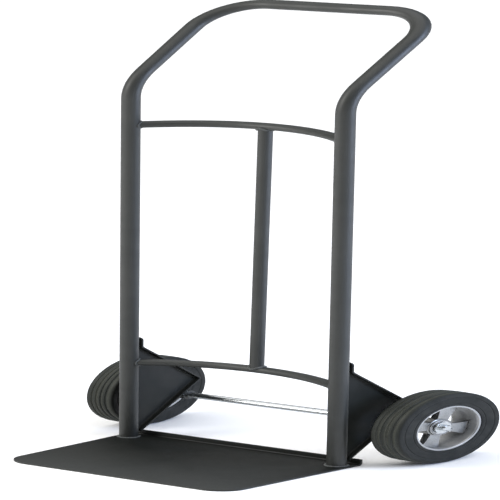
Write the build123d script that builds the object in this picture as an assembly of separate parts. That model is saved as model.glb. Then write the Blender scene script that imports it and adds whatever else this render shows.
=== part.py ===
from build123d import *
import os
from math import asin, atan2, cos, hypot, radians, sin, tan

os.makedirs("parts", exist_ok=True)

# A two-wheeled hand truck. All sizes are in millimetres.
# X runs across the truck, +Y from the toe plate's nose to the wheels, +Z up.
# The design is laid out with the uprights' axes at y = 0 and the floor at z = 0,
# and every piece is then moved so that the footprint's middle is the origin.

# --- Frame tube: one length makes both uprights and the handle ---
frame_width = 357.0  # over the outsides of the uprights
tube_od = 25.4
tube_wall = 2.1
lean_height = 1080.0  # where an upright's and its leg's centre lines meet
lean_angle = 45.8  # of the handle's legs, back from vertical
leg_length = 253.8  # from that meeting point to the grip's centre line
lean_radius = 100.0
corner_radius = 76.2

# --- Cross bars and centre strut ---
bar_od = 19.05
bar_wall = 1.65
upper_bar_drop = 123.0  # its centre line, below the uprights' lean
upper_bar_bow = 60.0  # how far its middle stands behind the uprights
lower_bar_height = 237.0
lower_bar_bow = 51.0

# --- Toe plate ---
plate_side = 5.2  # beyond each upright's outside
plate_front = 247.7  # nose edge, in front of the uprights' axes
plate_back = 29.0  # back of the lip, behind them
plate_thickness = 4.8
plate_corner = 38.0
lip_height = 18.0
lip_bend = 3.0  # inside radius

# --- Axle brackets: pressed trays, alike on both sides ---
bracket_sheet = 3.5
bracket_flange = 12.7  # overall depth of the tray across the truck
bracket_bend = 4.0  # inside radius between web and flange
tab_top = 310.0
tab_foot = 281.5
bracket_foot = 19.24  # its lowest point, on the upright
bracket_top_slope = 47.6  # degrees below level
apex_radius = 6.0
tab_radius = 9.0
tab_corner = 8.0  # radius of the tab's free top corner

# --- Axle ---
axle_diameter = 15.875
axle_y = 113.5
axle_chamfer = 1.5
axle_past_pin = 4.6  # from the cotter pin's centre to the axle's end
sleeve_od = 25.4
sleeve_inset = 11.0  # how far a sleeve reaches inboard of the upright's axis
spacer_od = 22.0
washer_od = 31.8
washer_thickness = 2.0

# --- Cotter pins ---
pin_diameter = 3.4
pin_hole = 4.0
pin_reach = 13.0  # from the axle's centre to each end of the shank
pin_wire = 2.04  # across each half, which makes the eye and one leg
pin_eye_radius = 3.0
pin_leg_length = 7.0
pin_leg_splay = 38.0  # degrees
pin_leg_gap = 1.19  # between the middles of the legs where they part
pin_turn = -40.0  # the shank's direction, up from +Y

# --- Wheels ---
tyre_gap = 25.95  # between an upright's outside and its tyre
wheel_diameter = 203.2
tyre_width = 44.45
tyre_shoulder = 9.0
tyre_crown = 1.6  # how much lower the tread is at its shoulders
rim_diameter = 127.6  # over the hub's bright bead
rim_bead = 2.2  # how far the bead stands above the tyre seat
rim_wall = 3.2
rim_inset = 1.4  # of the bead, inside the tyre's face
bead_width = 2.0
groove_depth = 1.6
groove_width = 2.4
groove_pitch = 7.6
groove_count = 4
inner_side_ring = 7.2  # middle of the sidewall's inner ring, out from the rim
outer_side_ring = 13.6  # middle of its outer ring, in from the tread
side_ring_width = 1.8
side_ring_depth = 0.8

# --- Hub ---
boss_diameter = 44.4
boss_outboard = 10.0  # boss face, outboard of the wheel's middle plane
boss_inboard = 27.5
boss_bore = 28.6  # between the bearings
spoke_count = 4
spoke_thickness = 6.0
spoke_outboard = 6.7  # spoke face, outboard of the wheel's middle plane
spoke_inner_width = 24.0
spoke_outer_width = 38.0
spoke_turn = -18.0
rib_thickness = 5.0
rib_depth = 12.0

# --- Bearings, two to a wheel ---
bearing_od = 34.925
bearing_width = 11.11  # outer race
bearing_inner_width = 12.7  # inner race, which stands proud at both faces
ball_diameter = 5.95
ball_count = 8
race_shoulder = 2.0  # from the balls' circle to each race's edge
shield_thickness = 0.5
shield_recess = 0.4

# --- Clearances ---
weld_gap = 0.2  # between pieces that a weld bead joins
seat_clearance = 0.05  # radial, on shafts and pressed rings
running_clearance = 0.05  # radial, on what turns
stack_clearance = 0.1  # end to end, along the axle
shield_clearance = 0.4  # between a shield and the inner race
overcut = 1.0  # how far a cutter reaches past the faces it opens

# --- Worked out from the sizes above ---
upright_x = (frame_width - tube_od) / 2
tube_r = tube_od / 2
bar_r = bar_od / 2
axle_r = axle_diameter / 2
wheel_r = wheel_diameter / 2
axle_z = wheel_r
wheel_x = frame_width / 2 + tyre_gap + tyre_width / 2
upper_bar_height = lean_height - upper_bar_drop
plate_width = frame_width + 2 * plate_side
grip_y = leg_length * sin(radians(lean_angle))
grip_z = lean_height + leg_length * cos(radians(lean_angle))
footprint_back = max(axle_y + wheel_r, grip_y + tube_r)
origin_shift = Pos(0, (plate_front - footprint_back) / 2, 0)
rim_half_width = tyre_width / 2 - rim_inset
seat_r = rim_diameter / 2 - rim_bead
barrel_r = seat_r - rim_wall
boss_outer_x = wheel_x + boss_outboard
boss_inner_x = wheel_x - boss_inboard
side_ring_radii = (rim_diameter / 2 + inner_side_ring, wheel_r - outer_side_ring)
ball_circle = (axle_diameter + bearing_od) / 2
inner_race_od = ball_circle - 2 * race_shoulder
outer_race_bore = ball_circle + 2 * race_shoulder
race_proud = (bearing_inner_width - bearing_width) / 2
outer_washer_x = boss_outer_x + race_proud + stack_clearance
inner_washer_x = boss_inner_x - race_proud - stack_clearance
pin_x = outer_washer_x + washer_thickness + stack_clearance + pin_hole / 2
axle_half = pin_x + axle_past_pin
sleeve_inner_x = upright_x - sleeve_inset
sleeve_outer_x = upright_x + tube_r


def save(name, piece):
    """Writes one piece, moved to the truck's origin."""
    placed = origin_shift * piece
    placed.label = name
    export_step(placed, f"parts/{name}.step")


def along_x(radius, low, high, y=axle_y, z=axle_z):
    """A solid rod along X between two x places, on the axle's line."""
    rod = Cylinder(radius, high - low)
    return Pos((low + high) / 2, y, z) * Rot(0, 90, 0) * rod


def ring_x(outer, inner, low, high):
    """A tube along X on the axle's line."""
    return along_x(outer, low, high) - along_x(inner, low - overcut, high + overcut)


def for_side(side, piece):
    """A piece made for the right-hand side, or its mirror image on the left."""
    return piece if side == "right" else mirror(piece, about=Plane.YZ)


# ---------------------------------------------------------------- frame


def frame_loop():
    """Uprights, leaning legs and grip, bent from one tube."""
    foot = plate_thickness + weld_gap
    corners = [
        (-upright_x, 0, foot),
        (-upright_x, 0, lean_height),
        (-upright_x, grip_y, grip_z),
        (upright_x, grip_y, grip_z),
        (upright_x, 0, lean_height),
        (upright_x, 0, foot),
    ]
    radii = [lean_radius, corner_radius, corner_radius, lean_radius]
    path = FilletPolyline(*corners, radius=radii)
    section = Circle(tube_r) - Circle(tube_r - tube_wall)
    return sweep(Plane(path ^ 0) * section, path=path)


def upright_cutters():
    """What copes a bar's ends to the two uprights."""
    height = 2 * lean_height
    cutter = Cylinder(tube_r + weld_gap, height)
    return [Pos(x, 0, 0) * cutter for x in (-upright_x, upright_x)]


def bar_path(height, bow):
    """A cross bar's centre line, an arc that bows backwards."""
    ends = [(x, 0, height) for x in (-upright_x, upright_x)]
    return ThreePointArc(ends[0], (0, bow, height), ends[1])


def cross_bar(height, bow):
    """A bowed bar between the uprights, coped at both ends."""
    path = bar_path(height, bow)
    section = Circle(bar_r) - Circle(bar_r - bar_wall)
    bar = sweep(Plane(path ^ 0) * section, path=path)
    for cutter in upright_cutters():
        bar -= cutter
    return bar


def lower_cross_bar():
    """The lower bar, whose ends also stop short of the brackets' webs."""
    reach = upright_x - bracket_sheet / 2 - weld_gap
    room = Box(2 * reach, 4 * (lower_bar_bow + bar_od), 2 * bar_od)
    return cross_bar(lower_bar_height, lower_bar_bow) & Pos(0, 0, lower_bar_height) * room


def centre_strut():
    """The strut between the middles of the two cross bars, coped at both ends."""
    low = Vector(0, lower_bar_bow, lower_bar_height)
    high = Vector(0, upper_bar_bow, upper_bar_height)
    path = Line(low, high)
    section = Circle(bar_r) - Circle(bar_r - bar_wall)
    strut = sweep(Plane(path ^ 0) * section, path=path)
    for height, bow in ((lower_bar_height, lower_bar_bow), (upper_bar_height, upper_bar_bow)):
        around = bar_path(height, bow)
        strut -= sweep(Plane(around ^ 0) * Circle(bar_r + weld_gap), path=around)
    return strut


def toe_plate():
    """The nose plate with rounded front corners and a lip turned up at its back."""
    low_back = (plate_back, 0)
    inner_back = (plate_back - plate_thickness, plate_thickness)
    outline = Polyline(
        (-plate_front, 0),
        low_back,
        (plate_back, lip_height),
        (plate_back - plate_thickness, lip_height),
        inner_back,
        (-plate_front, plate_thickness),
        close=True,
    )
    profile = make_face(Plane.YZ * outline)
    plate = extrude(profile, amount=plate_width / 2, dir=(1, 0, 0), both=True)
    along = plate.edges().filter_by(Axis.X)
    outer_bend = along.sort_by_distance((0, *low_back))[0]
    plate = fillet(outer_bend, lip_bend + plate_thickness)
    along = plate.edges().filter_by(Axis.X)
    inner_bend = along.sort_by_distance((0, *inner_back))[0]
    plate = fillet(inner_bend, lip_bend)
    front_corners = plate.edges().filter_by(Axis.Z).group_by(Axis.Y)[0]
    return fillet(front_corners, plate_corner)


def bracket_lines():
    """The tray's outline: the tab's two y places, apex and foot (y, z), low edge's slope."""
    front = tube_r + weld_gap
    back = front + bracket_sheet
    # The low edge runs from the foot and rests on the axle's sleeve.
    across, rise = axle_y - front, axle_z - bracket_foot
    stand_off = sleeve_od / 2 + weld_gap
    up = atan2(rise, across) + asin(stand_off / hypot(across, rise))
    # The top edge starts at the tab's foot.
    down = radians(bracket_top_slope)
    low_at_back = bracket_foot + bracket_sheet * tan(up)
    run = (tab_foot - low_at_back) / (tan(up) + tan(down))
    apex = (back + run, tab_foot - run * tan(down))
    foot = (front, bracket_foot)
    return front, back, apex, foot, up


def axle_bracket(side):
    """A triangular web behind one upright, with a flange all along its free edges."""
    front, back, apex, foot, up = bracket_lines()
    web_x = upright_x if side == "right" else -upright_x
    near_x = web_x - bracket_sheet / 2
    outline = Polyline(
        (front, tab_top), (back, tab_top), (back, tab_foot), apex, foot, close=True
    )
    tray = extrude(make_face(Plane.YZ * outline), amount=bracket_flange, dir=(1, 0, 0))
    along = tray.edges().filter_by(Axis.X)
    tray = fillet(along.sort_by_distance((0, *apex))[0], apex_radius)
    along = tray.edges().filter_by(Axis.X)
    tray = fillet(along.sort_by_distance((0, back, tab_foot))[0], tab_radius)
    top_edges = tray.edges().filter_by(Axis.Y).group_by(Axis.Z)[-1]
    tray = fillet(top_edges.sort_by(Axis.X)[-1], tab_corner)
    # The tray's hollow keeps one sheet's thickness of flange and is open to the tube.
    down = radians(bracket_top_slope)
    open_y = front - bracket_sheet
    top_z = tab_foot - (open_y - back) * tan(down) - bracket_sheet / cos(down)
    low_z = foot[1] + (open_y - front) * tan(up) + bracket_sheet / cos(up)
    run = (top_z - low_z) / (tan(up) + tan(down))
    inner_apex = (open_y + run, low_z + run * tan(up))
    hollow = Polyline((open_y, top_z), inner_apex, (open_y, low_z), close=True)
    pocket = extrude(make_face(Plane.YZ * hollow), amount=bracket_flange, dir=(1, 0, 0))
    floor_edges = pocket.faces().sort_by(Axis.X)[0].edges()
    floor_edges = [edge for edge in floor_edges if (edge @ 0.5).Y > open_y + 0.1]
    pocket = fillet(floor_edges, bracket_bend)
    return Pos(near_x, 0, 0) * (tray - Pos(bracket_sheet, 0, 0) * pocket)


# ---------------------------------------------------------------- axle


def axle():
    """The bright axle, cross-drilled for a cotter pin near each end."""
    rod = along_x(axle_r, -axle_half, axle_half)
    ends = rod.edges().filter_by(GeomType.CIRCLE)
    rod = chamfer(ends, axle_chamfer)
    drill = Cylinder(pin_hole / 2, 2 * axle_diameter)
    for x in (-pin_x, pin_x):
        rod -= Pos(x, axle_y, axle_z) * Rot(pin_turn - 90, 0, 0) * drill
    return rod


def axle_sleeve():
    """The short tube that is welded under a bracket and holds the axle."""
    return ring_x(sleeve_od / 2, axle_r + seat_clearance, sleeve_inner_x, sleeve_outer_x)


def axle_spacer():
    """The tube that keeps a wheel clear of the frame."""
    low = sleeve_outer_x + stack_clearance
    high = inner_washer_x - washer_thickness - stack_clearance
    return ring_x(spacer_od / 2, axle_r + seat_clearance, low, high)


def washer(low):
    """A flat washer, from a given x outwards."""
    return ring_x(washer_od / 2, axle_r + seat_clearance, low, low + washer_thickness)


def cotter_pin():
    """A split pin: eye, shank and two splayed legs."""
    wire = pin_wire / 2
    ring = Rot(0, 90, 0) * Torus(pin_eye_radius, wire)
    pin = Cylinder(pin_diameter / 2, 2 * pin_reach)
    pin += Pos(0, 0, -pin_reach - pin_eye_radius) * ring
    leg = Cylinder(wire, pin_leg_length, align=(Align.CENTER, Align.CENTER, Align.MIN))
    for side in (-1, 1):
        start = Pos(0, side * pin_leg_gap / 2, pin_reach - pin_diameter / 2)
        pin += start * Rot(-side * pin_leg_splay, 0, 0) * leg
    return Pos(pin_x, axle_y, axle_z) * Rot(pin_turn - 90, 0, 0) * pin


# ---------------------------------------------------------------- wheels


def tyre():
    """A solid rubber tyre with ribbed tread and ringed sidewalls, gripped by the rim's beads."""
    half = tyre_width / 2
    inner_r = seat_r + seat_clearance
    bead_r = rim_diameter / 2 + seat_clearance
    bead_x = rim_half_width - bead_width - seat_clearance
    shoulder_r = wheel_r - tyre_crown
    outline = Polyline(
        (wheel_x - bead_x, inner_r),
        (wheel_x + bead_x, inner_r),
        (wheel_x + bead_x, bead_r),
        (wheel_x + half, bead_r),
        (wheel_x + half, shoulder_r),
        (wheel_x, wheel_r),
        (wheel_x - half, shoulder_r),
        (wheel_x - half, bead_r),
        (wheel_x - bead_x, bead_r),
        close=True,
    )
    face = make_face(Plane.XZ * outline)
    shoulders = face.vertices().group_by(Axis.Z)[-2]
    face = fillet(shoulders, tyre_shoulder)
    body = Pos(0, axle_y, axle_z) * revolve(face, Axis.X)
    first = -(groove_count - 1) / 2
    for step in range(groove_count):
        middle = wheel_x + (first + step) * groove_pitch
        low, high = middle - groove_width / 2, middle + groove_width / 2
        body -= ring_x(wheel_r + overcut, wheel_r - groove_depth - tyre_crown / 2, low, high)
    for radius in side_ring_radii:
        outer, inner = radius + side_ring_width / 2, radius - side_ring_width / 2
        for low in (wheel_x - half - overcut, wheel_x + half - side_ring_depth):
            body -= ring_x(outer, inner, low, low + overcut + side_ring_depth)
    return body


def spoke():
    """One flat spoke that widens towards the rim, with a rib down its back."""
    inner = boss_diameter / 2 - rim_wall
    outer = barrel_r + rim_wall / 2
    outline = Polyline(
        (inner, -spoke_inner_width / 2),
        (outer, -spoke_outer_width / 2),
        (outer, spoke_outer_width / 2),
        (inner, spoke_inner_width / 2),
        close=True,
    )
    blade = extrude(make_face(Plane.YZ * outline), amount=spoke_thickness, dir=(1, 0, 0))
    back_x = spoke_outboard - spoke_thickness
    rib = Box(rib_depth + overcut, outer - inner, rib_thickness)
    rib = Pos(back_x + (overcut - rib_depth) / 2, (inner + outer) / 2, 0) * rib
    # The outer corners are trimmed to the middle of the barrel's wall.
    trim = Rot(0, 90, 0) * Cylinder(outer, 2 * tyre_width)
    return (Pos(back_x, 0, 0) * blade + rib) & trim


def hub():
    """A cast hub: rim barrel with two beads, spokes, and a boss for two bearings."""
    rim_r = rim_diameter / 2
    low, high = wheel_x - rim_half_width, wheel_x + rim_half_width
    body = ring_x(seat_r, barrel_r, low, high)
    body += ring_x(rim_r, barrel_r, low, low + bead_width)
    body += ring_x(rim_r, barrel_r, high - bead_width, high)
    body += along_x(boss_diameter / 2, boss_inner_x, boss_outer_x)
    for step in range(spoke_count):
        turn = spoke_turn + step * 360 / spoke_count
        body += Pos(wheel_x, axle_y, axle_z) * Rot(turn, 0, 0) * spoke()
    body -= along_x(boss_bore / 2, boss_inner_x - overcut, boss_outer_x + overcut)
    seat = bearing_od / 2 + seat_clearance
    body -= along_x(seat, boss_inner_x - overcut, boss_inner_x + bearing_width)
    body -= along_x(seat, boss_outer_x - bearing_width, boss_outer_x + overcut)
    return body


def bearing_middles():
    """Where the two bearings' middle planes lie."""
    return (boss_inner_x + bearing_width / 2, boss_outer_x - bearing_width / 2)


def ball_track(middle):
    """The ring that a bearing's balls roll in, with their running clearance."""
    groove = Torus(ball_circle / 2, ball_diameter / 2 + running_clearance)
    return Pos(middle, axle_y, axle_z) * Rot(0, 90, 0) * groove


def race_rings(outer, inner, width):
    """The same race in both bearings, as separate rings."""
    rings = []
    for middle in bearing_middles():
        ring = ring_x(outer, inner, middle - width / 2, middle + width / 2)
        rings.append(ring - ball_track(middle))
    return Compound(rings)


def bearing_balls():
    """The balls of both bearings."""
    balls = []
    for middle in bearing_middles():
        for step in range(ball_count):
            turn = Rot(step * 360 / ball_count, 0, 0)
            place = Pos(middle, axle_y, axle_z) * turn * Pos(0, ball_circle / 2, 0)
            balls.append(place * Sphere(ball_diameter / 2))
    return Compound(balls)


def bearing_shields():
    """The thin rings that close the outer face of each bearing."""
    outer = outer_race_bore / 2 - seat_clearance
    inner = inner_race_od / 2 + shield_clearance
    reach = bearing_width / 2 - shield_recess
    low_middle, high_middle = bearing_middles()
    places = (low_middle - reach, high_middle + reach - shield_thickness)
    shields = [ring_x(outer, inner, low, low + shield_thickness) for low in places]
    return Compound(shields)


# ---------------------------------------------------------------- writing

save("frame_loop", frame_loop())
save("upper_cross_bar", cross_bar(upper_bar_height, upper_bar_bow))
save("lower_cross_bar", lower_cross_bar())
save("centre_strut", centre_strut())
save("toe_plate", toe_plate())
save("axle", axle())

inner_race = race_rings(inner_race_od / 2, axle_r + seat_clearance, bearing_inner_width)
outer_race = race_rings(bearing_od / 2, outer_race_bore / 2, bearing_width)
sided_pieces = {
    "axle_sleeve": axle_sleeve(),
    "axle_spacer": axle_spacer(),
    "inner_washer": washer(inner_washer_x - washer_thickness),
    "outer_washer": washer(outer_washer_x),
    "cotter_pin": cotter_pin(),
    "tyre": tyre(),
    "hub": hub(),
    "bearing_inner_races": inner_race,
    "bearing_outer_races": outer_race,
    "bearing_balls": bearing_balls(),
    "bearing_shields": bearing_shields(),
}
for side in ("left", "right"):
    save(f"{side}_axle_bracket", axle_bracket(side))
    for name, piece in sided_pieces.items():
        save(f"{side}_{name}", for_side(side, piece))
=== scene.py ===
from math import cos, pi, radians, sin, sqrt, tan

import bmesh
import bpy
from mathutils import Matrix, Vector


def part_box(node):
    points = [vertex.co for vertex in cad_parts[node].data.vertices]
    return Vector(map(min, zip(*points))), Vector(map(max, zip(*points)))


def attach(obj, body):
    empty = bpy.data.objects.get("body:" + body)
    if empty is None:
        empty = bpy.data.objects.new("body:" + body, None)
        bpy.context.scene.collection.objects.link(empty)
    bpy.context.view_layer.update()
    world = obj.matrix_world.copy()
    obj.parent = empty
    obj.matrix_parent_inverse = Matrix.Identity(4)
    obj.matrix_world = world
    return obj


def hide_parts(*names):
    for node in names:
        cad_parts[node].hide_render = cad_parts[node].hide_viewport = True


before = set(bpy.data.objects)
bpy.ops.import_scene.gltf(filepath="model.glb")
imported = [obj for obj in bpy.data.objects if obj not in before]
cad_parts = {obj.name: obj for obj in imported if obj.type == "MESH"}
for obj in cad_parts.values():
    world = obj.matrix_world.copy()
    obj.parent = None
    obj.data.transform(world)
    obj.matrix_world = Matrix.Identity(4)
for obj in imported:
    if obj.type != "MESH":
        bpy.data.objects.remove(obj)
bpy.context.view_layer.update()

# A two-wheeled hand truck. Sizes are in metres; X runs across it, +Y from nose to wheels.
MM = 0.001
SIDES = {"left": -1, "right": 1}
TUBE_R = 12.7 * MM
BAR_R = 9.525 * MM
WELD_GAP = 0.2 * MM
# Each bowed bar: the height of its ends, and how far its middle stands back.
UPPER_BAR = (0.957, 60 * MM)
LOWER_BAR = (0.237, 51 * MM)

# Places, read from the frame's boxes.
loop_low, loop_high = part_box("frame_loop")
axle_low, axle_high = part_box("axle")
tyre_low, tyre_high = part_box("right_tyre")
plate_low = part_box("toe_plate")[0]
UPRIGHT_X = loop_high.x - TUBE_R
UPRIGHT_Y = loop_low.y + TUBE_R
PLATE_TOP = loop_low.z - WELD_GAP
PLATE_NOSE = -plate_low.y
AXLE_Y = (axle_low.y + axle_high.y) / 2
AXLE_Z = (axle_low.z + axle_high.z) / 2
WHEEL_X = (tyre_low.x + tyre_high.x) / 2
WHEEL_R = (tyre_high.z - tyre_low.z) / 2
TYRE_HALF = (tyre_high.x - tyre_low.x) / 2


def put(node, **values):
    """Sets a node's inputs by name, with _ for each space."""
    for name, value in values.items():
        node.inputs[name.replace("_", " ")].default_value = value
    return node


def stand(name, data):
    """Puts a new object in the scene."""
    thing = bpy.data.objects.new(name, data)
    bpy.context.scene.collection.objects.link(thing)
    return thing


# ------------------------------------------------------------------ finishes


class Finish:
    """A material built up on the piece's own coordinates. Scales are in lumps to the metre."""

    def __init__(self, name, stretch=(1, 1, 1)):
        self.material = bpy.data.materials.new(name)
        self.material.use_nodes = True
        self.nodes = self.material.node_tree.nodes
        self.links = self.material.node_tree.links
        self.shader = self.nodes["Principled BSDF"]
        self.mapping = self.add("ShaderNodeMapping", Scale=stretch)
        self.join((self.add("ShaderNodeTexCoord"), "Object"), self.mapping, "Vector")
        self.tint = None
        self.bump = None

    def add(self, kind, **values):
        return put(self.nodes.new(kind), **values)

    def join(self, source, target, slot):
        """Links a (node, output) pair to a node's input."""
        node, output = source
        self.links.new(node.outputs[output], target.inputs[slot])

    def places(self):
        """The piece's coordinates, split into X, Y and Z."""
        split = self.add("ShaderNodeSeparateXYZ")
        self.join((self.mapping, "Vector"), split, "Vector")
        return split

    def clouds(self, scale, detail):
        """Cloudy variation."""
        node = self.add("ShaderNodeTexNoise", Scale=scale, Detail=detail, Roughness=0.55)
        self.join((self.mapping, "Vector"), node, "Vector")
        return node, "Fac"

    def between(self, source, low, high, start=0.35, end=0.65):
        """Spreads a pattern between two values."""
        node = self.add("ShaderNodeMapRange", From_Min=start, From_Max=end, To_Min=low, To_Max=high)
        self.join(source, node, "Value")
        return node, "Result"

    def cover(self, colour, share, under=None):
        """Lays a colour over another, or over what is there, as far as a pattern says."""
        mix = self.add("ShaderNodeMix")
        mix.data_type = "RGBA"
        put(mix, B=(*colour, 1.0))
        if under:
            put(mix, A=(*under, 1.0))
        else:
            self.join(self.tint, mix, "A")
        self.join(share, mix, "Factor")
        self.tint = (mix, "Result")
        self.join(self.tint, self.shader, "Base Color")

    def colour(self, first, second, scale):
        """Two close colours in soft patches."""
        self.cover(second, self.between(self.clouds(scale, 4.0), 0.0, 1.0), under=first)

    def specks(self, colour, scale, start, end, amount):
        """Fine grains of another colour."""
        self.cover(colour, self.between(self.clouds(scale, 2.0), 0.0, amount, start, end))

    def bands(self, colour, scale, amount):
        """Soft rings of another colour, one after the other across the truck."""
        rings = self.add("ShaderNodeTexNoise")
        rings.noise_dimensions = "1D"
        put(rings, Scale=scale, Detail=2.0)
        self.join((self.places(), "X"), rings, "W")
        self.cover(colour, self.between((rings, "Fac"), 0.0, amount, 0.42, 0.62))

    def along(self, axis, middle, low, high, colour):
        """Fades a colour in along an axis, between two distances from a place and its mirror image."""
        found = (self.places(), axis)
        for operation in ("ABSOLUTE", "SUBTRACT", "ABSOLUTE"):
            step = self.add("ShaderNodeMath")
            step.operation = operation
            step.inputs[1].default_value = middle
            self.join(found, step, 0)
            found = (step, "Value")
        self.cover(colour, self.between(found, 0.0, 1.0, low, high))

    def roughness(self, low, high, scale):
        """Polish that varies in patches."""
        self.join(self.between(self.clouds(scale, 3.0), low, high), self.shader, "Roughness")

    def relief(self, scale, detail, depth, strength):
        """Adds cloudy lumps of a depth in metres to the surface."""
        bump = self.add("ShaderNodeBump", Distance=depth, Strength=strength)
        self.join(self.clouds(scale, detail), bump, "Height")
        if self.bump:
            self.join((self.bump, "Normal"), bump, "Normal")
        self.bump = bump
        self.join((bump, "Normal"), self.shader, "Normal")

    def done(self, **values):
        """Sets what is even all over, and hands over the material."""
        put(self.shader, **values)
        return self.material


def powder_coat():
    """Satin charcoal powder coat with its fine orange peel."""
    coat = Finish("charcoal_powder_coat")
    coat.colour((0.020, 0.022, 0.020), (0.026, 0.028, 0.026), 9.0)
    coat.roughness(0.44, 0.54, 30.0)
    coat.relief(900.0, 2.0, 0.05 * MM, 0.5)
    coat.relief(170.0, 1.0, 0.10 * MM, 0.25)
    return coat.done(Specular_IOR_Level=0.5)


def plate_coat():
    """The flatter coat of the toe plate, with painted light that makes it paler towards its nose."""
    coat = Finish("matt_plate_coat")
    coat.colour((0.003, 0.004, 0.003), (0.006, 0.007, 0.006), 6.0)
    # Painted light: the coat fades paler towards the plate's nose, standing in for the light on its
    # front.
    coat.along("Y", 0.0, 0.03, PLATE_NOSE, (0.028, 0.030, 0.028))
    coat.roughness(0.40, 0.52, 14.0)
    coat.relief(750.0, 3.0, 0.07 * MM, 0.6)
    coat.relief(60.0, 2.0, 0.12 * MM, 0.2)
    return coat.done(Specular_IOR_Level=0.30)


def bracket_coat():
    """The same coat on pressed sheet, flatter, and painted a little darker as shade."""
    coat = Finish("flat_bracket_coat")
    # Painted shade: these colours are a darker copy of the frame's coat.
    coat.colour((0.009, 0.010, 0.009), (0.012, 0.014, 0.012), 12.0)
    coat.roughness(0.46, 0.58, 24.0)
    coat.relief(820.0, 2.0, 0.06 * MM, 0.5)
    coat.relief(80.0, 1.0, 0.12 * MM, 0.25)
    return coat.done(Specular_IOR_Level=0.24)


def weld_coat():
    """Coat over the weld beads, painted lighter as a highlight on the beads."""
    coat = Finish("coated_weld")
    # Painted highlight: these colours are much paler than the frame's coat.
    coat.colour((0.050, 0.055, 0.054), (0.085, 0.092, 0.092), 160.0)
    coat.roughness(0.30, 0.42, 200.0)
    coat.relief(1200.0, 2.0, 0.05 * MM, 0.6)
    return coat.done()


def zinc_plate():
    """Bright zinc with drawn streaks along X."""
    zinc = Finish("bright_zinc", stretch=(0.06, 1.0, 1.0))
    zinc.colour((0.44, 0.46, 0.47), (0.56, 0.58, 0.58), 60.0)
    zinc.roughness(0.20, 0.32, 700.0)
    zinc.relief(1800.0, 3.0, 0.02 * MM, 0.4)
    return zinc.done(Metallic=1.0)


def turned_steel():
    """Ground bearing steel."""
    steel = Finish("ground_steel")
    steel.colour((0.56, 0.57, 0.58), (0.66, 0.67, 0.68), 220.0)
    steel.roughness(0.14, 0.26, 700.0)
    steel.relief(2500.0, 2.0, 0.01 * MM, 0.4)
    return steel.done(Metallic=1.0)


def dark_seal():
    """Dark steel of the bearings' shields, painted dark as the shade in the gap between washer and boss.
    """
    seal = Finish("shade_dark_shield")
    # Painted shade: the shields are dark to stand for the shadowed gap by the washers.
    seal.colour((0.09, 0.09, 0.09), (0.14, 0.14, 0.135), 300.0)
    seal.roughness(0.24, 0.40, 500.0)
    seal.relief(2000.0, 2.0, 0.01 * MM, 0.4)
    return seal.done(Metallic=0.9)


def cast_barrel():
    """The rim's inside, with painted shade: dark in its depth and brighter at its lips."""
    cast = Finish("shaded_cast_barrel")
    # Painted shade: a dark base colour for the shade deep inside the rim.
    cast.colour((0.12, 0.125, 0.13), (0.18, 0.185, 0.19), 55.0)
    cast.specks((0.07, 0.072, 0.074), 520.0, 0.54, 0.68, 0.6)
    # Painted light: the colour fades lighter towards the barrel's lips.
    cast.along("X", WHEEL_X, 2 * MM, TYRE_HALF - 4 * MM, (0.37, 0.37, 0.365))
    cast.roughness(0.38, 0.54, 240.0)
    cast.relief(850.0, 3.0, 0.16 * MM, 0.7)
    return cast.done(Metallic=0.75)


def cast_aluminium():
    """Bright cast aluminium with a sandy skin."""
    cast = Finish("cast_aluminium")
    cast.colour((0.27, 0.27, 0.26), (0.35, 0.35, 0.34), 45.0)
    cast.specks((0.22, 0.23, 0.24), 560.0, 0.52, 0.66, 0.8)
    cast.roughness(0.34, 0.50, 260.0)
    cast.relief(850.0, 3.0, 0.16 * MM, 0.7)
    cast.relief(110.0, 2.0, 0.25 * MM, 0.35)
    return cast.done(Metallic=0.9)


def moulded_rubber():
    """Dark grey solid rubber with a dry bloom, a fine moulded grain and darker sidewalls."""
    rubber = Finish("moulded_rubber")
    rubber.colour((0.019, 0.022, 0.019), (0.027, 0.030, 0.026), 16.0)
    rubber.bands((0.046, 0.048, 0.038), 150.0, 0.7)
    rubber.specks((0.062, 0.068, 0.066), 420.0, 0.60, 0.72, 0.5)
    rubber.along("X", WHEEL_X, TYRE_HALF - 5 * MM, TYRE_HALF - 1 * MM, (0.010, 0.011, 0.0095))
    rubber.roughness(0.58, 0.74, 38.0)
    rubber.relief(1100.0, 3.0, 0.08 * MM, 0.6)
    rubber.relief(140.0, 2.0, 0.16 * MM, 0.25)
    return rubber.done(Specular_IOR_Level=0.26)


def pale_floor():
    """Plain pale floor, nearly even."""
    pale = Finish("pale_floor")
    pale.colour((0.93, 0.93, 0.93), (0.95, 0.95, 0.945), 0.8)
    pale.roughness(0.75, 0.85, 3.0)
    return pale.done()


# ------------------------------------------------------------------ camera, light, floor

# The camera's own axes and place. The axes aren't square to each other, which widens the picture.
CAMERA_ACROSS = (-0.1637, 0.92764, -0.3357)
CAMERA_UP = (-0.32917, 0.41623, 0.84758)
CAMERA_BACK = (0.56961, -0.74207, 0.3534)
CAMERA_PLACE = (10.3419, -13.4258, 7.0117)
LENS = 460.0

# How strongly the walls light the truck, on the left and on the right.
WALL_LEFT = 0.32
WALL_RIGHT = 0.12
FLOOR_REACH = 60.0
LAMPS_AIM = (0, 0, 0.6)


def anamorphic_camera():
    """A long lens on a sheared rig, which draws the truck wider than it is high."""
    rig = stand("camera_rig", None)
    camera = stand("camera", bpy.data.cameras.new("camera"))
    columns = [(*axis, 0.0) for axis in (CAMERA_ACROSS, CAMERA_UP, CAMERA_BACK)]
    camera.parent = rig
    camera.matrix_parent_inverse = Matrix([*columns, (*CAMERA_PLACE, 1.0)]).transposed()
    camera.data.lens = LENS
    camera.data.shift_x = 0.002
    camera.data.shift_y = 0.005
    camera.data.clip_start = 0.5
    camera.data.clip_end = 200.0
    bpy.context.scene.camera = camera


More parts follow.
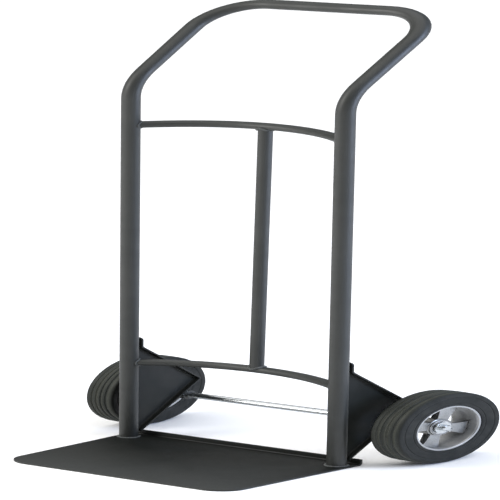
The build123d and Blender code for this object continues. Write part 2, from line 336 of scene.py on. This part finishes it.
def white_walls():
    """Walls that are plain white behind the truck, and light it more from the left."""
    world = bpy.data.worlds.new("studio")
    bpy.context.scene.world = world
    world.use_nodes = True
    nodes, links = world.node_tree.nodes, world.node_tree.links
    glow = put(nodes["Background"], Color=(0.98, 0.99, 1.0, 1.0))
    ways = nodes.new("ShaderNodeTexCoord")
    split = nodes.new("ShaderNodeSeparateXYZ")
    fade = put(nodes.new("ShaderNodeMapRange"), From_Min=-1.0, To_Min=WALL_LEFT, To_Max=WALL_RIGHT)
    rays = nodes.new("ShaderNodeLightPath")
    seen = put(nodes.new("ShaderNodeMix"), B=1.0)
    links.new(ways.outputs["Generated"], split.inputs["Vector"])
    links.new(split.outputs["X"], fade.inputs["Value"])
    links.new(fade.outputs["Result"], seen.inputs["A"])
    links.new(rays.outputs["Is Camera Ray"], seen.inputs["Factor"])
    links.new(seen.outputs["Result"], glow.inputs["Strength"])


def softbox(name, place, width, height, watts, colour):
    """A rectangular lamp at a place, turned to the truck's middle."""
    lamp = bpy.data.lights.new(name, "AREA")
    lamp.shape = "RECTANGLE"
    lamp.size, lamp.size_y = width, height
    lamp.energy = watts
    lamp.color = colour
    box = stand(name, lamp)
    box.location = place
    box.rotation_mode = "QUATERNION"
    box.rotation_quaternion = (Vector(LAMPS_AIM) - Vector(place)).to_track_quat("-Z", "Y")


def soft_ceiling(strength, spread):
    """Even light from straight above, from a wide part of the ceiling."""
    lamp = bpy.data.lights.new("ceiling_light", "SUN")
    lamp.energy = strength
    lamp.angle = spread
    stand("ceiling_light", lamp)


def wide_floor():
    """A floor that reaches past every view's edge."""
    mesh = bpy.data.meshes.new("floor")
    ways = ((-1, -1), (1, -1), (1, 1), (-1, 1))
    mesh.from_pydata([(x * FLOOR_REACH, y * FLOOR_REACH, 0) for x, y in ways], [], [(0, 1, 2, 3)])
    mesh.materials.append(pale_floor())
    stand("floor", mesh)


def studio():
    """A white room with a warm lamp in front, a cool one at the side and a soft ceiling."""
    white_walls()
    softbox("key_light", (-2.4, -3.0, 2.2), 1.6, 2.4, 118, (1.0, 0.985, 0.96))
    softbox("side_light", (3.1, 1.7, 1.5), 1.3, 2.6, 140, (0.61, 0.73, 1.0))
    soft_ceiling(2.75, radians(90))
    wide_floor()
    bpy.context.scene.view_settings.view_transform = "Standard"


# ------------------------------------------------------------------ making pieces

HALF_EDGE = 0.49


def in_metres(corners):
    """Corners given in millimetres, in metres."""
    return [tuple(value * MM for value in corner) for corner in corners]


def plain_mesh(name, shape):
    """Turns a bmesh into a mesh and lets go of it."""
    mesh = bpy.data.meshes.new(name)
    shape.to_mesh(mesh)
    shape.free()
    return mesh


def closed_mesh(name, shape):
    """Closes a bmesh into a mesh with outward faces."""
    bmesh.ops.remove_doubles(shape, verts=shape.verts, dist=1e-6)
    bmesh.ops.recalc_face_normals(shape, faces=shape.faces)
    return plain_mesh(name, shape)


def finish_piece(mesh, body, material, replaced=(), sharp=40):
    """Gives a mesh its material and smooth faces, and hands it to a body."""
    mesh.materials.clear()
    mesh.materials.append(material)
    mesh.shade_smooth()
    mesh.set_sharp_from_angle(angle=radians(sharp))
    thing = stand(mesh.name, mesh)
    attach(thing, body)
    if replaced:
        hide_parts(*replaced)


def rounded(corners, steps=5):
    """A closed outline from (x, y, radius) corners, with an arc at each that takes up to half an edge."""
    outline = []
    for index, (x, y, radius) in enumerate(corners):
        if radius <= 0:
            outline.append((x, y))
            continue
        here = Vector((x, y))
        before = Vector(corners[index - 1][:2]) - here
        after = Vector(corners[(index + 1) % len(corners)][:2]) - here
        half = before.angle(after) / 2
        cut = min(radius / tan(half), before.length * HALF_EDGE, after.length * HALF_EDGE)
        start, end = here + before.normalized() * cut, here + after.normalized() * cut
        centre = here + (before.normalized() + after.normalized()).normalized() * (cut / cos(half))
        first, last = start - centre, end - centre
        sweep = first.angle_signed(last)
        for step in range(steps + 1):
            turn = Matrix.Rotation(-sweep * step / steps, 2)
            point = centre + turn @ first
            outline.append((point.x, point.y))
    return outline


def turned(name, outline, side, facets):
    """An (x, radius) outline turned about the axle's line; x counts outboard of the wheel's middle."""
    shape = bmesh.new()
    rings = []
    for step in range(facets):
        turn = 2 * pi * step / facets
        ring = []
        for x, radius in outline:
            place = (side * (WHEEL_X + x), AXLE_Y + radius * cos(turn), AXLE_Z + radius * sin(turn))
            ring.append(shape.verts.new(place))
        rings.append(ring)
    count = len(outline)
    for step in range(facets):
        here, there = rings[step], rings[(step + 1) % facets]
        for index in range(count):
            beyond = (index + 1) % count
            shape.faces.new((here[index], here[beyond], there[beyond], there[index]))
    return closed_mesh(name, shape)


def grown(mesh, tree, **values):
    """Runs a node tree on a mesh and returns the plain mesh it makes."""
    host = stand("host", mesh)
    modifier = host.modifiers.new("nodes", "NODES")
    modifier.node_group = tree
    for socket in tree.interface.items_tree:
        if socket.in_out == "INPUT" and socket.name in values:
            modifier[socket.identifier] = values[socket.name]
    seen = host.evaluated_get(bpy.context.evaluated_depsgraph_get())
    made = bpy.data.meshes.new_from_object(seen)
    bpy.data.objects.remove(host)
    return made


class Tree:
    """A geometry node tree with named inputs."""

    def __init__(self, name, **inputs):
        self.tree = bpy.data.node_groups.new(name, "GeometryNodeTree")
        face = self.tree.interface
        face.new_socket("Geometry", in_out="INPUT", socket_type="NodeSocketGeometry")
        face.new_socket("Geometry", in_out="OUTPUT", socket_type="NodeSocketGeometry")
        for label, (kind, value) in inputs.items():
            socket = face.new_socket(label, in_out="INPUT", socket_type=f"NodeSocket{kind}")
            if value is not None:
                socket.default_value = value
        self.given = self.node("NodeGroupInput")
        self.result = self.node("NodeGroupOutput")

    def node(self, kind, **settings):
        made = self.tree.nodes.new(kind)
        for name, value in settings.items():
            setattr(made, name, value)
        return made

    def link(self, source, output, target, slot):
        self.tree.links.new(source.outputs[output], target.inputs[slot])

    def maths(self, operation, first, second):
        """A sum on two values, each a number or a (node, output) pair."""
        made = self.node("ShaderNodeMath", operation=operation)
        for slot, value in enumerate((first, second)):
            if isinstance(value, tuple):
                self.link(*value, made, slot)
            else:
                made.inputs[slot].default_value = value
        return made, "Value"

    def close(self, source, output):
        """Ends the tree in real geometry with its material on."""
        real = self.node("GeometryNodeRealizeInstances")
        coat = self.node("GeometryNodeSetMaterial")
        self.link(source, output, real, "Geometry")
        self.link(real, "Geometry", coat, "Geometry")
        self.link(self.given, "Material", coat, "Material")
        self.link(coat, "Geometry", self.result, "Geometry")
        return self.tree


# ------------------------------------------------------------------ welds

# How far a weld's middle line stands off the tube it lies on, by joint, off the end it runs round, and
# off the toe plate.
BAR_WELD_RISE = 0.7 * MM
STRUT_WELD_RISE = 0.9 * MM
FOOT_WELD_RISE = 0.9 * MM
STITCH_RISE = 0.1 * MM
END_WELD_RISE = 0.3 * MM
PLATE_WELD_RISE = 0.5 * MM
# The beads' half widths: bars and brackets, the uprights' feet, the strut's ends.
THIN_BEAD = 1.7 * MM
WIDE_BEAD = 2.6 * MM
FULL_BEAD = 3.3 * MM
# A ripple's half length in steps of the bead, and the core's radius in half widths.
RIPPLE_LENGTH = 0.85
CORE_SHARE = 0.78
BEAD_STEPS = 48
FOOT_STEPS = 64
# Stitches hold a bracket's web on its upright, between these heights.
STITCHES = ((0.032, 0.062), (0.118, 0.150), (0.272, 0.304))
# How far a stitch lies from the web's middle.
WEB_OUT = 2.6 * MM
# Runs hold a sleeve under its bracket's low flange, either side of the angle that faces it.
SLEEVE_WELD_R = 13.6 * MM
FLANGE_TURN = radians(135)
RUN_TURN = radians(24)
RUN_START = -1.2 * MM
RUN_LENGTH = 11.5 * MM


def bead_tree():
    """A weld bead along each path: a core with overlapping ripples on it."""
    made = Tree(
        "weld_bead",
        Pitch=("Float", 1.7 * MM),
        Width=("Float", 2.0 * MM),
        Uneven=("Float", 0.16),
        Seed=("Int", 7),
        Material=("Material", None),
    )
    given = made.given
    path = made.node("GeometryNodeMeshToCurve")
    made.link(given, "Geometry", path, "Mesh")
    spaced = made.node("GeometryNodeResampleCurve", mode="LENGTH")
    made.link(path, "Curve", spaced, "Curve")
    made.link(given, "Pitch", spaced, "Length")
    ripple = put(made.node("GeometryNodeMeshUVSphere"), Segments=10, Rings=6, Radius=1.0)
    tangent = made.node("GeometryNodeInputTangent")
    turn = made.node("FunctionNodeAlignRotationToVector", axis="Z")
    made.link(tangent, "Tangent", turn, "Vector")
    chance = made.node("FunctionNodeRandomValue", data_type="FLOAT")
    made.link(given, "Seed", chance, "Seed")
    swing = made.maths("MULTIPLY", (chance, 1), (given, "Uneven"))
    share = made.maths("SUBTRACT", 1.0, swing)
    wide = made.maths("MULTIPLY", share, (given, "Width"))
    long = made.maths("MULTIPLY", (given, "Pitch"), RIPPLE_LENGTH)
    scale = made.node("ShaderNodeCombineXYZ")
    made.link(*wide, scale, "X")
    made.link(*wide, scale, "Y")
    made.link(*long, scale, "Z")
    spread = made.node("GeometryNodeInstanceOnPoints")
    made.link(spaced, "Curve", spread, "Points")
    made.link(ripple, "Mesh", spread, "Instance")
    made.link(turn, "Rotation", spread, "Rotation")
    made.link(scale, "Vector", spread, "Scale")
    section = put(made.node("GeometryNodeCurvePrimitiveCircle"), Resolution=8)
    core_r = made.maths("MULTIPLY", (given, "Width"), CORE_SHARE)
    made.link(*core_r, section, "Radius")
    core = put(made.node("GeometryNodeCurveToMesh"), Fill_Caps=True)
    made.link(spaced, "Curve", core, "Curve")
    made.link(section, "Curve", core, "Profile Curve")
    both = made.node("GeometryNodeJoinGeometry")
    made.link(core, "Mesh", both, "Geometry")
    made.link(spread, "Instances", both, "Geometry")
    return made.close(both, "Geometry")


def add_path(shape, points, ring):
    """Adds a line of edges to a bmesh, closed for a ring."""
    line = [shape.verts.new(point) for point in points]
    for here, there in zip(line, line[1:]):
        shape.edges.new((here, there))
    if ring:
        shape.edges.new((line[-1], line[0]))


def foot_path(side):
    """Round an upright's foot, on the toe plate."""
    reach = TUBE_R + FOOT_WELD_RISE
    points = []
    for step in range(FOOT_STEPS):
        turn = 2 * pi * step / FOOT_STEPS
        x, y = side * UPRIGHT_X + reach * cos(turn), UPRIGHT_Y + reach * sin(turn)
        points.append((x, y, PLATE_TOP + PLATE_WELD_RISE))
    return points


def bar_end_path(side, height, bow):
    """Where a bowed bar meets an upright: a saddle curve."""
    radius = (UPRIGHT_X**2 + bow**2) / (2 * bow)
    sine = UPRIGHT_X / radius
    along = Vector((-side * sqrt(1 - sine**2), sine, 0))
    flat = Vector((-along.y, along.x, 0))
    middle = Vector((side * UPRIGHT_X, UPRIGHT_Y, height))
    reach, bar = TUBE_R + BAR_WELD_RISE, BAR_R + END_WELD_RISE
    points = []
    for step in range(BEAD_STEPS):
        turn = 2 * pi * step / BEAD_STEPS
        level, rise = bar * cos(turn), bar * sin(turn)
        out = sqrt(reach**2 - level**2)
        points.append(middle + along * out + flat * level + Vector((0, 0, rise)))
    return points


def strut_end_path(height, bow, other_height, other_bow):
    """Where the strut meets a bar of its own size."""
    middle = Vector((0, UPRIGHT_Y + bow, height))
    along = (Vector((0, UPRIGHT_Y + other_bow, other_height)) - middle).normalized()
    flat = Vector((0, along.z, -along.y))
    reach, bar = BAR_R + STRUT_WELD_RISE, BAR_R + END_WELD_RISE
    points = []
    for step in range(BEAD_STEPS):
        turn = 2 * pi * step / BEAD_STEPS
        across, level = bar * cos(turn), bar * sin(turn)
        out = sqrt(reach**2 - level**2)
        points.append(middle + along * out + flat * level + Vector((across, 0, 0)))
    return points


def bracket_stitches(side):
    """Short runs down both faces of a bracket's web, where it stands on the upright."""
    runs = []
    y = UPRIGHT_Y + TUBE_R + STITCH_RISE
    for low, high in STITCHES:
        for face in (-1, 1):
            x = side * UPRIGHT_X + face * WEB_OUT
            runs.append([(x, y, low), (x, y, high)])
    return runs


def sleeve_runs(side):
    """Two runs along a sleeve, where the bracket's low flange rests on it."""
    runs = []
    near = side * UPRIGHT_X + RUN_START
    for turn in (FLANGE_TURN - RUN_TURN, FLANGE_TURN + RUN_TURN):
        y = AXLE_Y + SLEEVE_WELD_R * cos(turn)
        z = AXLE_Z + SLEEVE_WELD_R * sin(turn)
        runs.append([(near, y, z), (near + RUN_LENGTH, y, z)])
    return runs


def weld_beads(coat):
    """All the frame's welds, in one piece."""
    thin, wide, full = bmesh.new(), bmesh.new(), bmesh.new()
    for side in SIDES.values():
        add_path(wide, foot_path(side), True)
        for height, bow in (UPPER_BAR, LOWER_BAR):
            add_path(thin, bar_end_path(side, height, bow), True)
        for run in (*bracket_stitches(side), *sleeve_runs(side)):
            add_path(thin, run, False)
    add_path(full, strut_end_path(*LOWER_BAR, *UPPER_BAR), True)
    add_path(full, strut_end_path(*UPPER_BAR, *LOWER_BAR), True)
    bead = bead_tree()
    joined = bmesh.new()
    for shape, width in ((thin, THIN_BEAD), (wide, WIDE_BEAD), (full, FULL_BEAD)):
        path = plain_mesh("weld_path", shape)
        joined.from_mesh(grown(path, bead, Width=width, Material=coat))
    finish_piece(plain_mesh("weld_beads", joined), "frame", coat, sharp=80)


# ------------------------------------------------------------------ sheet-metal pieces

# Faces that turn less than this are one flat; edges that turn more than the next are cut edges.
ONE_FLAT = radians(0.6)
CUT_EDGE = radians(40)
PLATE_EASE = 0.5 * MM
BRACKET_EASE = 0.4 * MM


def eased(node, material, width):
    """A sheet-metal piece of the frame with its cut edges eased."""
    shape = bmesh.new()
    shape.from_mesh(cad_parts[node].data)
    bmesh.ops.remove_doubles(shape, verts=shape.verts, dist=2e-6)
    bmesh.ops.dissolve_limit(
        shape, angle_limit=ONE_FLAT, verts=shape.verts, edges=shape.edges, delimit=set()
    )
    keen = [e for e in shape.edges if len(e.link_faces) == 2 and e.calc_face_angle(0) > CUT_EDGE]
    bmesh.ops.bevel(
        shape, geom=keen, offset=width, segments=3, profile=0.5, affect="EDGES", clamp_overlap=True
    )
    finish_piece(plain_mesh(node + "_eased", shape), "frame", material, (node,), sharp=30)


# ------------------------------------------------------------------ wheels

# Flats round a full turn.
TYRE_FACETS = 180
BARREL_FACETS = 144
BOSS_FACETS = 96

TYRE_SEAT_R = 61.65 * MM
TYRE_BEAD_R = 63.85 * MM
SIDEWALL_RINGS = (71.0 * MM, 88.0 * MM)
RING_DEEP = 0.8 * MM
# The tread's grooves in millimetres outboard, and how much the tread falls for each of those.
GROOVES = (11.4, 3.8, -3.8, -11.4)
GROOVE_DEEP = 1.5 * MM
TREAD_FALL = 0.072 * MM

RIM_HALF = TYRE_HALF - 1.4 * MM
RIM_SEAT_R = 61.6 * MM
RIM_LIP_R = 63.8 * MM

SPOKES = 4
# The first spoke's turn back from +Y.
SPOKE_START = radians(-18)
SPOKE_INNER = 19.0 * MM
SPOKE_OUTER = 58.9 * MM
SPOKE_BACK = 0.7 * MM
SPOKE_FACE = 6.7 * MM
# A spoke's half width at each radius, and the corners of its broad end.
SPOKE_FLARE = in_metres(((19.0, 11.5), (30.0, 11.8), (42.0, 13.8), (51.0, 16.6), (56.3, 19.0)))
SPOKE_END = in_metres(((58.9, -15.0), (60.1, 0.0), (58.9, 15.0)))
SPOKE_ROUNDING = 1.3 * MM
# The rib behind a spoke: its size, how far its middle lies behind the spoke's back, its rounding.
RIB_DEEP = 12.0 * MM
RIB_WIDE = 4.6 * MM
RIB_SINK = 5.2 * MM
RIB_ROUNDING = 0.9 * MM

# The boss's section in millimetres: distance outboard, radius, rounding. Its last four rows are
# the bearings' seats and the shoulder between them.
BOSS = (
    (10.0, 17.55, 0.4),
    (10.0, 19.4, 0.3),
    (9.3, 19.7, 0.2),
    (9.3, 20.5, 0.2),
    (10.0, 20.8, 0.3),
    (10.0, 22.2, 1.2),
    (7.2, 22.2, 0.6),
    (6.2, 24.0, 0.8),
    (1.0, 24.0, 0.8),
    (0.0, 22.2, 0.6),
    (-27.5, 21.8, 1.2),
    (-27.5, 17.55, 0.5),
    (-16.39, 17.51, 0.0),
    (-16.39, 14.3, 0.3),
    (-1.11, 14.3, 0.3),
    (-1.11, 17.51, 0.0),
)


def sidewall_ring(radius):
    """The four corners of a shallow ring pressed into a sidewall."""
    edge, floor = 1.5 * MM, 0.3 * MM
    return [
        (TYRE_HALF, radius - edge, 1.0 * MM),
        (TYRE_HALF - RING_DEEP, radius - floor, 0.6 * MM),
        (TYRE_HALF - RING_DEEP, radius + floor, 0.6 * MM),
        (TYRE_HALF, radius + edge, 1.0 * MM),
    ]


def groove(middle):
    """The four corners of a round groove in the tread; its place is in millimetres outboard."""
    top = WHEEL_R - abs(middle) * TREAD_FALL
    floor = top - GROOVE_DEEP
    return [
        ((middle + 2.1) * MM, top, 1.2 * MM),
        ((middle + 0.7) * MM, floor, 0.8 * MM),
        ((middle - 0.7) * MM, floor, 0.8 * MM),
        ((middle - 2.1) * MM, top, 1.2 * MM),
    ]


def tyre_outline():
    """The tyre's section: seat, sidewall rings, round shoulders and ribbed tread."""
    bead_x = TYRE_HALF - 3.45 * MM
    inner_ring, outer_ring = SIDEWALL_RINGS
    side = [
        (bead_x, TYRE_SEAT_R, 0.0),
        (bead_x, TYRE_BEAD_R, 0.0),
        (TYRE_HALF - 0.6 * MM, TYRE_BEAD_R, 0.5 * MM),
        (TYRE_HALF - 0.2 * MM, TYRE_BEAD_R + 1.2 * MM, 0.8 * MM),
        (TYRE_HALF, 66.5 * MM, 1.0 * MM),
        *sidewall_ring(inner_ring),
        *sidewall_ring(outer_ring),
        (TYRE_HALF, WHEEL_R - 1.6 * MM, 9.0 * MM),
    ]
    corners = list(side)
    for middle in GROOVES:
        corners += groove(middle)
    corners += [(-x, r, radius) for x, r, radius in reversed(side)]
    return rounded(corners, 4)


def barrel_outline():
    """The rim's section: a seat for the tyre between two lips, and an inside that narrows inwards."""
    return rounded([
        (RIM_HALF, RIM_LIP_R, 0.7 * MM),
        (RIM_HALF - 2.0 * MM, RIM_LIP_R, 0.2 * MM),
        (RIM_HALF - 2.0 * MM, RIM_SEAT_R, 0.0),
        (-RIM_HALF + 2.0 * MM, RIM_SEAT_R, 0.0),
        (-RIM_HALF + 2.0 * MM, RIM_LIP_R, 0.2 * MM),
        (-RIM_HALF, RIM_LIP_R, 0.7 * MM),
        (-RIM_HALF, 59.6 * MM, 0.9 * MM),
        (-RIM_HALF + 3.0 * MM, 58.6 * MM, 1.5 * MM),
        (-2.0 * MM, 57.9 * MM, 6.0 * MM),
        (8.0 * MM, 57.9 * MM, 6.0 * MM),
        (RIM_HALF - 3.0 * MM, 58.8 * MM, 1.5 * MM),
        (RIM_HALF, 60.0 * MM, 0.9 * MM),
    ])


def tyre(side, rubber):
    """The solid tyre, in the tyre node's place."""
    mesh = turned(f"{side}_solid_tyre", tyre_outline(), SIDES[side], TYRE_FACETS)
    finish_piece(mesh, f"{side}_wheel", rubber, (f"{side}_tyre",), sharp=60)


def hub_barrel(side, shaded_barrel):
    """The rim's barrel; with the spider it takes the hub node's place."""
    mesh = turned(f"{side}_hub_barrel", barrel_outline(), SIDES[side], BARREL_FACETS)
    finish_piece(mesh, f"{side}_wheel", shaded_barrel, (f"{side}_hub",))


def spoke_blade(shape):
    """A flat spoke that widens towards the rim, pointing along Y."""
    outline = [(y, -half) for y, half in SPOKE_FLARE]
    outline += SPOKE_END
    outline += [(y, half) for y, half in reversed(SPOKE_FLARE)]
    low = [shape.verts.new((SPOKE_BACK, y, z)) for y, z in outline]
    high = [shape.verts.new((SPOKE_FACE, y, z)) for y, z in outline]
    shape.faces.new(reversed(low))
    shape.faces.new(high)
    for index in range(len(outline)):
        beyond = (index + 1) % len(outline)
        shape.faces.new((low[index], low[beyond], high[beyond], high[index]))
    long_edges = []
    for edge in shape.edges:
        here, there = edge.verts[0].co, edge.verts[1].co
        if abs(here.x - there.x) < 1e-7 and max(here.y, there.y) < SPOKE_OUTER:
            long_edges.append(edge)
    bmesh.ops.bevel(
        shape, geom=long_edges, offset=SPOKE_ROUNDING, segments=3, profile=0.5, affect="EDGES"
    )


def spoke_rib(shape):
    """The rib along a spoke's back."""
    rib = bmesh.ops.create_cube(shape, size=1.0)["verts"]
    bmesh.ops.scale(shape, verts=rib, vec=(RIB_DEEP, SPOKE_OUTER - SPOKE_INNER, RIB_WIDE))
    middle = (SPOKE_BACK - RIB_SINK, (SPOKE_OUTER + SPOKE_INNER) / 2, 0)
    bmesh.ops.translate(shape, verts=rib, vec=middle)
    edges = [e for e in shape.edges if all(v in rib for v in e.verts)]
    bmesh.ops.bevel(shape, geom=edges, offset=RIB_ROUNDING, segments=2, profile=0.5, affect="EDGES")


def spoke():
    """One spoke with its rib, about the wheel's middle."""
    shape = bmesh.new()
    spoke_blade(shape)
    spoke_rib(shape)
    bmesh.ops.recalc_face_normals(shape, faces=shape.faces)
    return plain_mesh("spoke", shape)


def ring_tree():
    """Copies of a piece set evenly round the X axis, moved to a hub's middle."""
    made = Tree(
        "ring_of_pieces",
        Count=("Int", 4),
        Start=("Float", 0.0),
        Middle=("Vector", (0.0, 0.0, 0.0)),
        Material=("Material", None),
    )
    given = made.given
    points = made.node("GeometryNodePoints")
    made.link(given, "Count", points, "Count")
    index = made.node("GeometryNodeInputIndex")
    share = made.maths("DIVIDE", 2 * pi, (given, "Count"))
    turn = made.maths("MULTIPLY", (index, "Index"), share)
    turn = made.maths("ADD", turn, (given, "Start"))
    about = made.node("ShaderNodeCombineXYZ")
    made.link(*turn, about, "X")
    one = made.node("GeometryNodeGeometryToInstance")
    made.link(given, "Geometry", one, "Geometry")
    spread = made.node("GeometryNodeInstanceOnPoints")
    made.link(points, "Points", spread, "Points")
    made.link(one, "Instances", spread, "Instance")
    made.link(about, "Vector", spread, "Rotation")
    move = made.node("GeometryNodeTransform")
    made.link(spread, "Instances", move, "Geometry")
    made.link(given, "Middle", move, "Translation")
    return made.close(move, "Geometry")


def hub_spider(side, cast):
    """The hub's boss and its spokes, cast in one."""
    boss = turned("hub_boss", rounded(in_metres(BOSS)), SIDES[side], BOSS_FACETS)
    middle = (WHEEL_X, AXLE_Y, AXLE_Z)
    spokes = grown(spoke(), ring_tree(), Count=SPOKES, Start=SPOKE_START, Middle=middle, Material=cast)
    joined = bmesh.new()
    joined.from_mesh(spokes)
    if side == "left":
        for vert in joined.verts:
            vert.co.x = -vert.co.x
        bmesh.ops.reverse_faces(joined, faces=joined.faces)
    joined.from_mesh(boss)
    mesh = plain_mesh(f"{side}_hub_spider", joined)
    finish_piece(mesh, f"{side}_wheel", cast, (f"{side}_hub",))


# ------------------------------------------------------------------ the truck

anamorphic_camera()
studio()

COAT = powder_coat()
PLATE = plate_coat()
PRESSED = bracket_coat()
WELD = weld_coat()
ZINC = zinc_plate()
STEEL = turned_steel()
SEAL = dark_seal()
CAST = cast_aluminium()
SHADED_BARREL = cast_barrel()
RUBBER = moulded_rubber()

# Pieces that keep the frame's own mesh.
kept = {
    "frame_loop": COAT,
    "upper_cross_bar": COAT,
    "lower_cross_bar": COAT,
    "centre_strut": COAT,
    "axle": ZINC,
}
for side in SIDES:
    kept[f"{side}_axle_sleeve"] = COAT
    for name in ("axle_spacer", "inner_washer", "outer_washer", "cotter_pin"):
        kept[f"{side}_{name}"] = ZINC
    for name in ("inner_races", "outer_races", "balls"):
        kept[f"{side}_bearing_{name}"] = STEEL
    kept[f"{side}_bearing_shields"] = SEAL
for node, material in kept.items():
    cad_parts[node].data.materials[0] = material

eased("toe_plate", PLATE, PLATE_EASE)
for side in SIDES:
    eased(f"{side}_axle_bracket", PRESSED, BRACKET_EASE)
    tyre(side, RUBBER)
    hub_barrel(side, SHADED_BARREL)
    hub_spider(side, CAST)
weld_beads(WELD)
